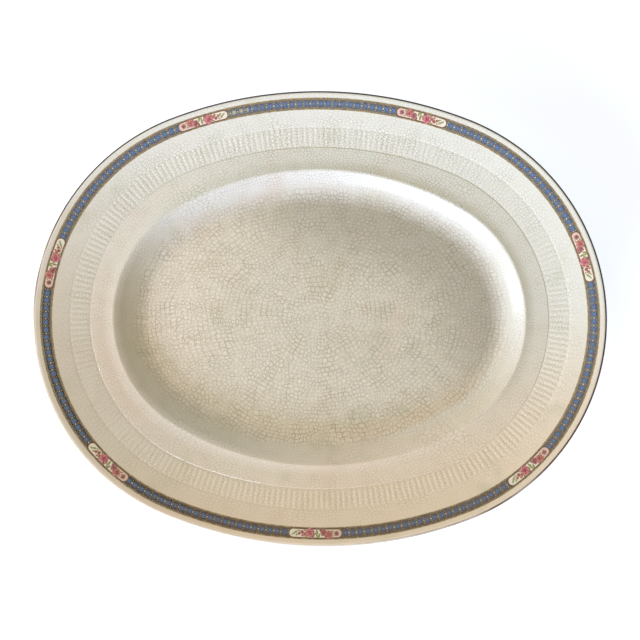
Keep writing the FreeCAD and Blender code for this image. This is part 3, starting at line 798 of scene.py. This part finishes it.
# Map of a cartouche: places along and across it, over the map's length and width, with 0.5 at its middle.
def cartoucheMap(middle):
    def mapOf(length, track):
        return ((middle - length) / cartoucheLook["mapLength"] + 0.5,
                (fieldMiddle - track) / cartoucheLook["mapWidth"] + 0.5)
    return mapOf


groundPaint = cartouchePaint()
for number, middle in enumerate(middles, 1):
    ground = carriedAlong(fieldSection, roundEnd(middle, 1), roundEnd(middle, -1), border["cartoucheRows"],
                          cartoucheMap(middle))
    buildPiece(f"cartouche{number}", [ground], groundPaint, [f"cartouche_{number}"])
print("cartouches made")


# ---- rose sprays

# Places are (clockwise, outward) millimetres from a cartouche's middle.
sprayLook = {
    "roses": [
        # place, radius, lobes, colour
        ((-8.2, 0.5), 2.45, 5, tint(214, 112, 112)), ((-5.0, -0.5), 2.1, 5, tint(172, 54, 84)),
        ((3.4, -0.4), 2.75, 5, tint(224, 96, 140)), ((-12.8, 0.1), 1.5, 4, tint(160, 74, 88)),
        ((1.6, 1.7), 0.95, 4, tint(178, 78, 100)), ((-6.3, 1.6), 0.85, 4, tint(226, 128, 126)),
        ((-3.2, -1.7), 0.8, 4, tint(150, 44, 74)), ((6.6, 0.4), 1.15, 4, tint(196, 104, 92)),
        ((8.2, -0.7), 1.1, 4, tint(176, 88, 80)), ((9.9, 0.2), 0.95, 4, tint(190, 108, 92)),
        ((7.9, 1.3), 0.75, 4, tint(208, 136, 112)),
    ],
    "leaves": [
        # place, direction in degrees, length, colour
        ((-2.2, 1.3), 65, 2.9, tint(122, 122, 60)), ((-0.9, 1.2), 105, 2.8, tint(142, 140, 72)),
        ((-0.9, -0.9), -75, 3.0, tint(126, 116, 58)), ((0.5, 0.4), 60, 2.6, tint(134, 126, 66)),
        ((-10.4, -1.2), 200, 2.2, tint(140, 108, 72)), ((-10.6, 1.3), 160, 2.0, tint(150, 120, 84)),
        ((5.6, 1.7), 30, 2.3, tint(142, 122, 76)), ((6.4, -1.7), -30, 2.3, tint(138, 124, 78)),
        ((10.2, -1.4), -20, 2.0, tint(146, 122, 84)), ((11.3, 1.0), 25, 2.3, tint(150, 132, 90)),
        ((12.1, -0.6), 35, 3.0, tint(138, 154, 106)), ((13.4, 0.5), 25, 2.7, tint(150, 164, 118)),
    ],
    "stem": [
        (-12.8, 0.2), (-7.9, 0.3), (-5.1, -0.4), (-0.8, 0.3),
        (3.4, -0.8), (7.5, 0.0), (9.6, 0.1), (13.2, -0.2),
    ],
    "stemTone": tint(132, 96, 60), "roughness": 0.2,
    # heights over the rim slope: a petal's edge, the further rise of its dome, and the hidden root
    "lift": 0.16, "crown": 0.16, "sunk": 0.05,
}


# Place on a cartouche to a point on the glazed rim, raised by the lift.
def onCartouche(middle, clockwise, outward, lift):
    track = fieldMiddle - outward
    heading = headingAt(rimOval, middle - clockwise, fieldMiddle)
    x, y = ovalPoint(rimOval, heading, track)
    return np.stack([x, y, rimHeight(track) + lift], -1)


# The two poles of a flower or leaf: its top at a lift, and its hidden root.
def fanPoles(middle, place, top):
    lift = np.array([top, sprayLook["sunk"]])
    return onCartouche(middle, np.full(2, place[0]), np.full(2, place[1]), lift)


# Blossom: a low dome whose outline has lobes; its petals are ripples that turn with the radius.
def blossom(middle, place, radius, lobes, tone):
    ring = np.concatenate([np.linspace(0.14, 1, 8), [0.9, 0.4]])[:, None]
    turn = np.linspace(0, fullTurn, 37)[None, :]
    phase = place[0] * 2.3
    reach = ring * radius * (1 + 0.09 * np.cos(lobes * turn + phase))
    ripple = 0.22 * np.sin(lobes * turn + phase + ring * 5) * ring * (1 - ring)
    dome = sprayLook["crown"] * (np.sqrt(np.clip(1 - ring ** 2, 0, 1)) + ripple)
    lift = np.where(np.arange(10)[:, None] < 8, sprayLook["lift"] + dome, sprayLook["sunk"])
    grid = onCartouche(middle, place[0] + reach * np.cos(turn), place[1] + reach * np.sin(turn), lift)
    ends = fanPoles(middle, place, sprayLook["lift"] + sprayLook["crown"])
    maps = np.stack(np.broadcast_arrays(turn / fullTurn, ring), -1)
    return shellFrom(grid[:, :-1], maps, ends, tone[:3] + (1.0,))


# Leaf: a low dome on an oval whose width narrows to a point at both ends.
def leaf(middle, place, direction, length, tone):
    ring = np.concatenate([np.linspace(0.2, 1, 5), [0.8, 0.3]])[:, None]
    turn = np.linspace(0, fullTurn, 25)[None, :]
    along = ring * np.cos(turn) * length / 2
    across = ring * np.sin(turn) * np.abs(np.sin(turn)) ** 0.6 * length * 0.24
    angle = np.radians(direction)
    clockwise = place[0] + along * np.cos(angle) - across * np.sin(angle)
    outward = place[1] + along * np.sin(angle) + across * np.cos(angle)
    dome = sprayLook["crown"] * 0.6 * np.sqrt(np.clip(1 - ring ** 2, 0, 1))
    lift = np.where(np.arange(7)[:, None] < 5, sprayLook["lift"] * 0.8 + dome, sprayLook["sunk"])
    grid = onCartouche(middle, clockwise, outward, lift)
    ends = fanPoles(middle, place, sprayLook["lift"])
    maps = np.stack(np.broadcast_arrays(0.5 + along / length, 0.5 + across / length), -1)
    return shellFrom(grid[:, :-1], maps, ends, tone[:3] + (0.0,))


# Stem: a thin rounded ribbon through the flowers, waving a little between them.
def stem(middle):
    knots = np.array(sprayLook["stem"])
    clockwise = np.linspace(knots[0, 0], knots[-1, 0], 60)
    outward = np.interp(clockwise, knots[:, 0], knots[:, 1]) + 0.22 * np.sin(clockwise * 1.9)
    side = np.array([-0.16, -0.1, 0.1, 0.16])[None, :]
    lift = np.array([0.05, 0.2, 0.2, 0.05])[None, :]
    grid = onCartouche(middle, clockwise[:, None] + side * 0, outward[:, None] + side, lift)
    along, across = clockwise[:, None] / 40 + 0.5, np.array([[0.3, 0.4, 0.6, 0.7, 0.3]])
    maps = np.stack(np.broadcast_arrays(along, across), -1)
    return shellFrom(grid, maps, [grid[0].mean(0), grid[-1].mean(0)], sprayLook["stemTone"][:3] + (0.0,))


# Spray enamel: the tone of each flower or leaf. Petals darken to the heart and pale at their rims, leaves
# pale away from the vein. The tone's alpha is 1 on petals and 0 on leaves and stems.
def sprayPaint():
    paint = newPaint("sprayEnamel")
    tone = paint.node("ShaderNodeAttribute", {"attribute_name": "tone"}, None, "Color")
    petal = Wire(paint, tone.socket.node.outputs["Alpha"])
    first, second = paint.track()
    fold = (first * fullTurn * 5 + second * 9).math("SINE")
    stroke = paint.noise(paint.place(), 0.7, 2.0).rise(0.38, 0.6)
    petalLight = (second.rise(0.05, 0.9) * 0.4 + stroke * 0.45 + fold * 0.2 * second).math("MINIMUM", 1.0)
    vein = abs(second - 0.5).rise(0.0, 0.12)
    dark = paint.mix(1.0, tone, tint(176, 92, 110), "MULTIPLY")
    pale = paint.mix(0.42, tone, tint(252, 226, 214))
    petals = paint.mix(petalLight, dark, pale)
    leaves = paint.mix(vein * 0.5, tone, tint(206, 204, 160))
    colour = paint.mix(petal, leaves, petals)
    return paint.finish(colour, sprayLook["roughness"], None, IOR=1.5)


enamel = sprayPaint()
for number, middle in enumerate(middles, 1):
    shells = [stem(middle)]
    shells += [leaf(middle, *spec) for spec in sprayLook["leaves"]]
    shells += [blossom(middle, *spec) for spec in sprayLook["roses"]]
    buildPiece(f"roseSpray{number}", shells, enamel, [f"rose_spray_{number}"])
print("rose sprays made")


# ---- gilding on the lip

giltLook = {
    # The dark tone is painted dark reflection and shade on the gilding.
    "gold": tint(104, 76, 48), "dark": tint(26, 20, 18), "ivory": tint(232, 222, 204), "roughness": 0.35,
    "from": 20.0, "to": 73.0,   # degrees up round the lip
    "depth": 0.1, "root": 0.25,   # reach outside and inside the lip's surface
}


# Worn gilding: gold darkened by painted reflection and shade, rubbed through to the glaze in patches, more
# along the near side.
def wornGilt():
    look = giltLook
    paint = newPaint("wornGilt")
    spot = paint.place()
    x, y = paint.parts(spot)[:2]
    rubbed = paint.noise(spot, 30.0, 3.0) * 0.5 + 0.25 - y * 0.0024 - x * 0.0012
    bare = rubbed.rise(0.5, 0.8) * 0.82
    # Painted reflection and shade: the gilt runs from the dark tone to gold, darker towards the far side.
    golden = paint.noise(spot, 6.0, 2.0).rise(0.3, 0.8) * 0.4 + rubbed.rise(0.2, 0.6) * 0.6
    colour = paint.mix(golden, look["dark"], look["gold"])
    colour = paint.mix(bare, colour, look["ivory"])
    return paint.finish(colour, look["roughness"], None, Metallic=(1 - bare) * 0.35)


# Arc about the lip's centre, which lies one lip radius in from the edge and one square under the rim slope.
def lipArc(radius, angles):
    lip = platter["lipRadius"]
    height = rimHeight(lip) - lip * np.sqrt(1 + rimSlope ** 2)
    return np.stack([lip - radius * np.cos(angles), height + radius * np.sin(angles)], -1)


sweepAngles = np.radians(np.linspace(giltLook["from"], giltLook["to"], 9))
giltSection = np.concatenate([lipArc(platter["lipRadius"] + giltLook["depth"], sweepAngles),
                              lipArc(platter["lipRadius"] - giltLook["root"], sweepAngles[::-4])])
buildPiece("edgeGilding", [carriedRound(giltSection, roundSteps["line"])], wornGilt(),
           ["edge_gilding"])
print("gilding made")


# ---- floor, light and camera

studio = {
    "floorSize": 60.0, "floorColour": tint(236, 240, 246), "floorCloud": tint(240, 238, 234),
    "floorGlow": 0.49, "glowColour": (0.88, 0.93, 1.15, 1.0),
    "key": {"place": (-1.24, -2.66, 0.62), "size": (1.5, 1.1), "power": 107.0, "colour": (0.63, 0.74, 1.0)},
    "side": {"place": (-2.89, -0.51, 0.62), "size": (1.1, 1.1), "power": 31.0, "colour": (0.97, 1.0, 0.85)},
    "window": {"place": (-0.495, 0.857, 0.99), "size": (0.7, 0.7), "power": 2.4, "colour": (0.2, 0.7, 1.0)},
    "lamp": {"place": (-0.35, 0.1, 0.6), "size": (0.4, 0.4), "power": 0.84, "colour": (1.0, 0.71, 0.59)},
    "horizon": (2.0, 2.0, 2.05, 1.0), "skyStrength": 0.48,
    "skySteps": [
        # direction's height at the start and end of the step, colour above it
        (0.03, 0.18, (1.0, 0.95, 0.84, 1.0)), (0.15, 0.75, (1.0, 0.9, 0.6, 1.0)),
    ],
}


# Table top: one square at height 0, faintly clouded, that glows a little of its own.
def makeFloor():
    half = studio["floorSize"] / 2
    mesh = bpy.data.meshes.new("tableTop")
    corners = [(-half, -half, 0), (half, -half, 0), (half, half, 0), (-half, half, 0)]
    mesh.from_pydata(corners, [], [(0, 1, 2, 3)])
    floor = bpy.data.objects.new("tableTop", mesh)
    bpy.context.scene.collection.objects.link(floor)
    paint = newPaint("paleTable")
    cloud = paint.noise(paint.place(), 120.0, 2.0)
    colour = paint.mix(cloud * 0.2, studio["floorColour"], studio["floorCloud"])
    mesh.materials.append(paint.finish(colour, 0.7, None, Emission_Color=studio["glowColour"],
                                       Emission_Strength=studio["floorGlow"]))


# Soft rectangular light, turned so that it faces the origin.
def makeLight(name, spec):
    data = bpy.data.lights.new(name, "AREA")
    data.shape = "RECTANGLE"
    data.size, data.size_y = spec["size"]
    data.energy = spec["power"]
    data.color = spec["colour"]
    light = bpy.data.objects.new(name, data)
    place = Vector(spec["place"])
    light.location = place
    light.rotation_euler = (-place).to_track_quat("-Z", "Y").to_euler()
    bpy.context.scene.collection.objects.link(light)


# Room light: bright at the horizon and warmer overhead, in steps of the height of the direction (its Z).
def makeSky():
    world = bpy.data.worlds.new("softRoom")
    paint = Paint(world)
    height = paint.parts(paint.node("ShaderNodeTexCoord", None, None, "Generated"))[2]
    colour = studio["horizon"]
    for low, high, above in studio["skySteps"]:
        climb = paint.node("ShaderNodeMapRange", None, {"Value": height, "From Min": low, "From Max": high})
        colour = paint.mix(climb, colour, above)
    back = paint.node("ShaderNodeBackground", None, {"Color": colour, "Strength": studio["skyStrength"]})
    paint.node("ShaderNodeOutputWorld", None, {"Surface": back})
    bpy.context.scene.world = world


makeFloor()
for lightName in ("key", "side", "window", "lamp"):
    makeLight(lightName, studio[lightName])
makeSky()

# Camera above the platter, leaning a little: distance, asides and lens in millimetres, leans in degrees.
view = {
    "distance": 600.0, "aside": (-0.55, 1.30), "lens": 52.0875,
    "lean": -4.26, "roll": -1.03, "turn": -0.76,
}
turns = Matrix.Identity(3)
for lean, axis in (("lean", "X"), ("roll", "Y"), ("turn", "Z")):
    turns = turns @ Matrix.Rotation(np.radians(view[lean]), 3, axis)
cameraData = bpy.data.cameras.new("overhead")
cameraData.lens = view["lens"]
camera = bpy.data.objects.new("overhead", cameraData)
spot = turns.transposed() @ Vector((-view["aside"][0], -view["aside"][1], view["distance"])) * mm
camera.matrix_world = Matrix.Translation(spot) @ turns.transposed().to_4x4()
bpy.context.scene.collection.objects.link(camera)
bpy.context.scene.camera = camera
bpy.context.scene.view_settings.view_transform = "Standard"
print("studio made")
